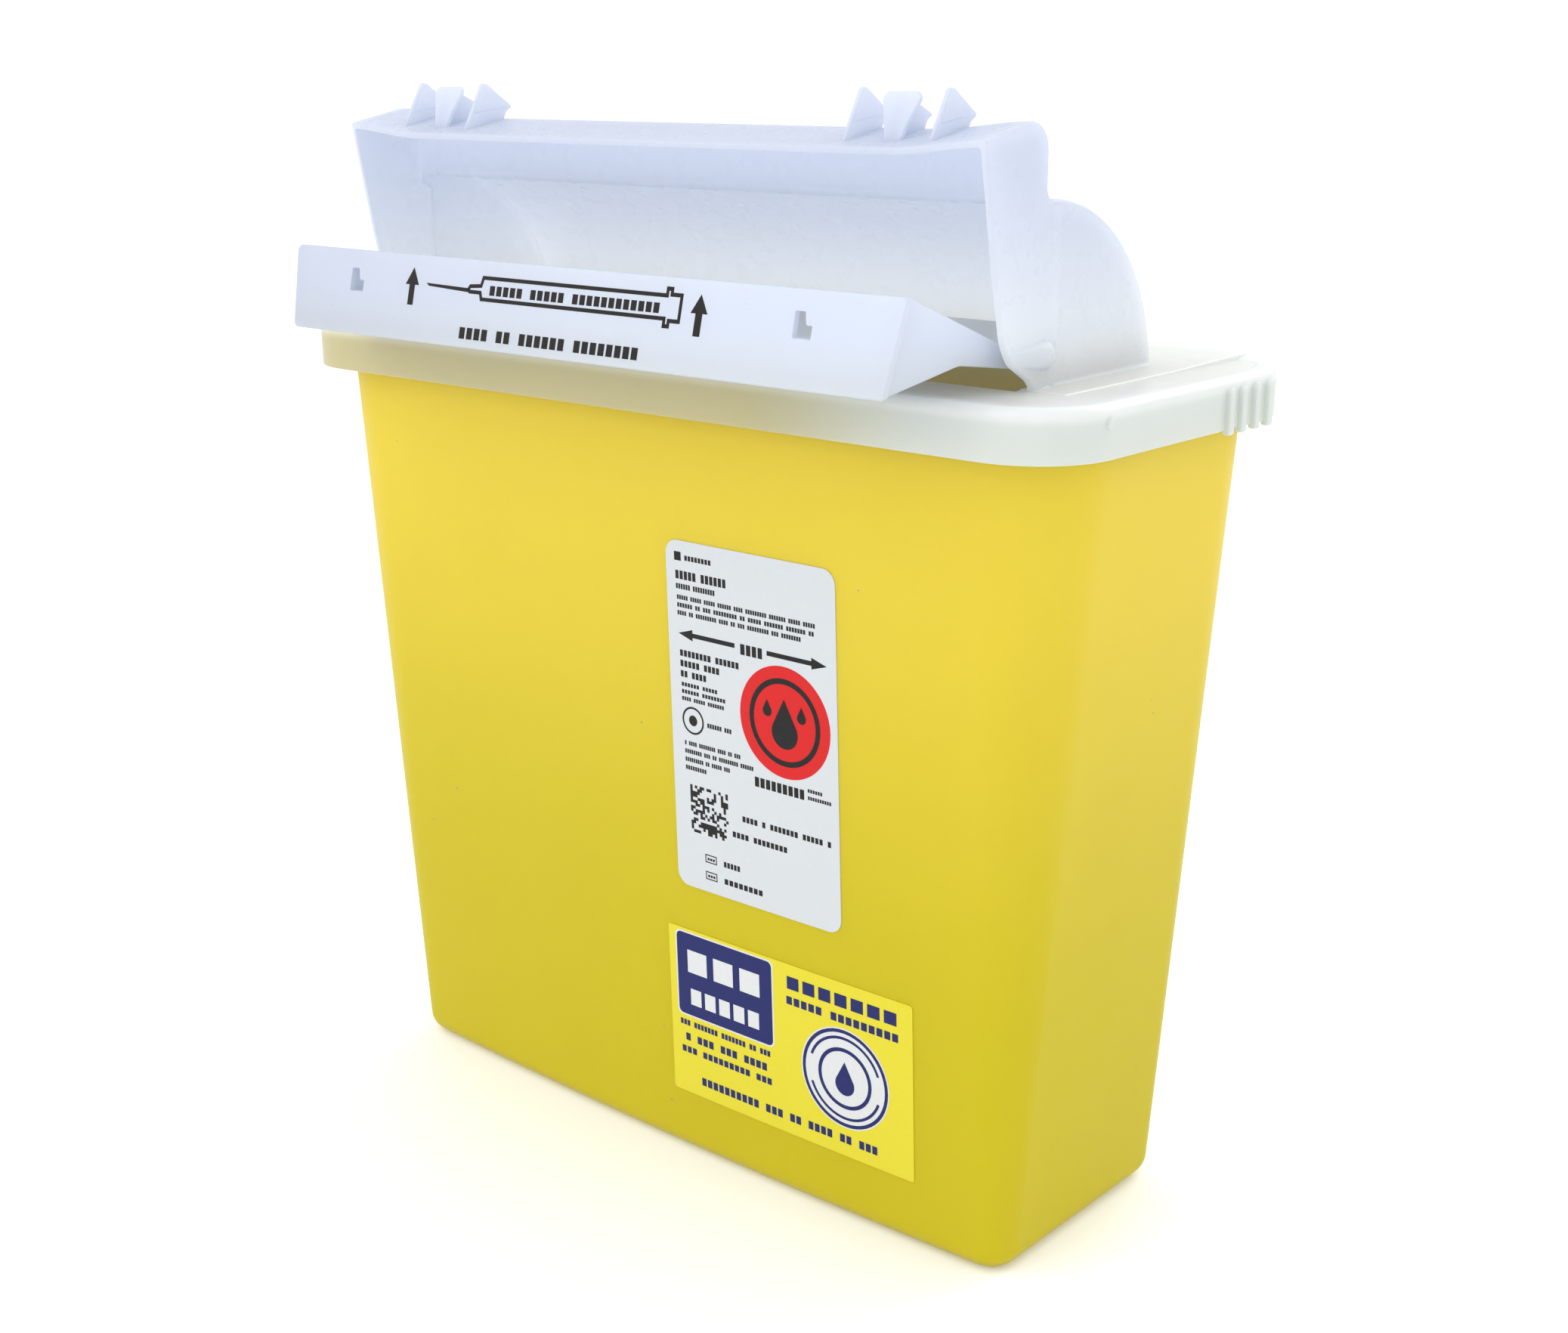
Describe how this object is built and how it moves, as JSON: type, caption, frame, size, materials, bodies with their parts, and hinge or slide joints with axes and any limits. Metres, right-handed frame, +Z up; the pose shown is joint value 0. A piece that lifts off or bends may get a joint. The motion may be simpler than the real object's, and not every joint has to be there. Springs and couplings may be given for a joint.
{
  "type": "sharps container",
  "caption": "Free-standing tapered tub with a clip-on hooded cover and a tipping drop tray for used sharps.",
  "frame": {"origin": "centre of the tub's flat bottom, midway between its sides and between its front and back walls", "axes": "+X to the object's right seen from the front, -Y out of the front where the tray is, +Z up"},
  "size_m": [0.2754, 0.1351, 0.2983],
  "materials": {
    "tub_plastic": "translucent yellow polypropylene, satin",
    "cover_plastic": "milky translucent polypropylene, satin",
    "tray_plastic": "milky translucent polypropylene, satin",
    "label_film": "white printed film, satin",
    "sticker_film": "yellow printed film, satin"
  },
  "bodies": {
    "container": {"tub": "tub_plastic", "front_label": "label_film", "service_sticker": "sticker_film", "lid_cover": "cover_plastic", "snap_hook_front_left": "cover_plastic", "snap_hook_front_right": "cover_plastic", "snap_hook_back_left": "cover_plastic", "snap_hook_back_right": "cover_plastic", "hood_shell": "cover_plastic", "pivot_boss_left": "cover_plastic", "pivot_boss_right": "cover_plastic", "lock_tab_left_outer": "cover_plastic", "lock_tab_left_inner": "cover_plastic", "lock_tab_right_inner": "cover_plastic", "lock_tab_right_outer": "cover_plastic", "lock_paddle_left": "cover_plastic", "lock_paddle_right": "cover_plastic"},
    "tray": {"tray_panel": "tray_plastic", "tray_floor": "tray_plastic", "tray_arm_left": "tray_plastic", "tray_arm_right": "tray_plastic", "pivot_pin_left": "tray_plastic", "pivot_pin_right": "tray_plastic"}
  },
  "joints": [
    {"name": "tray_tip", "type": "hinge", "parent": "container", "child": "tray", "pos_m": [0, -0.025, 0.238], "axis": [-1, 0, 0], "range_deg": [0, 40]}
  ]
}
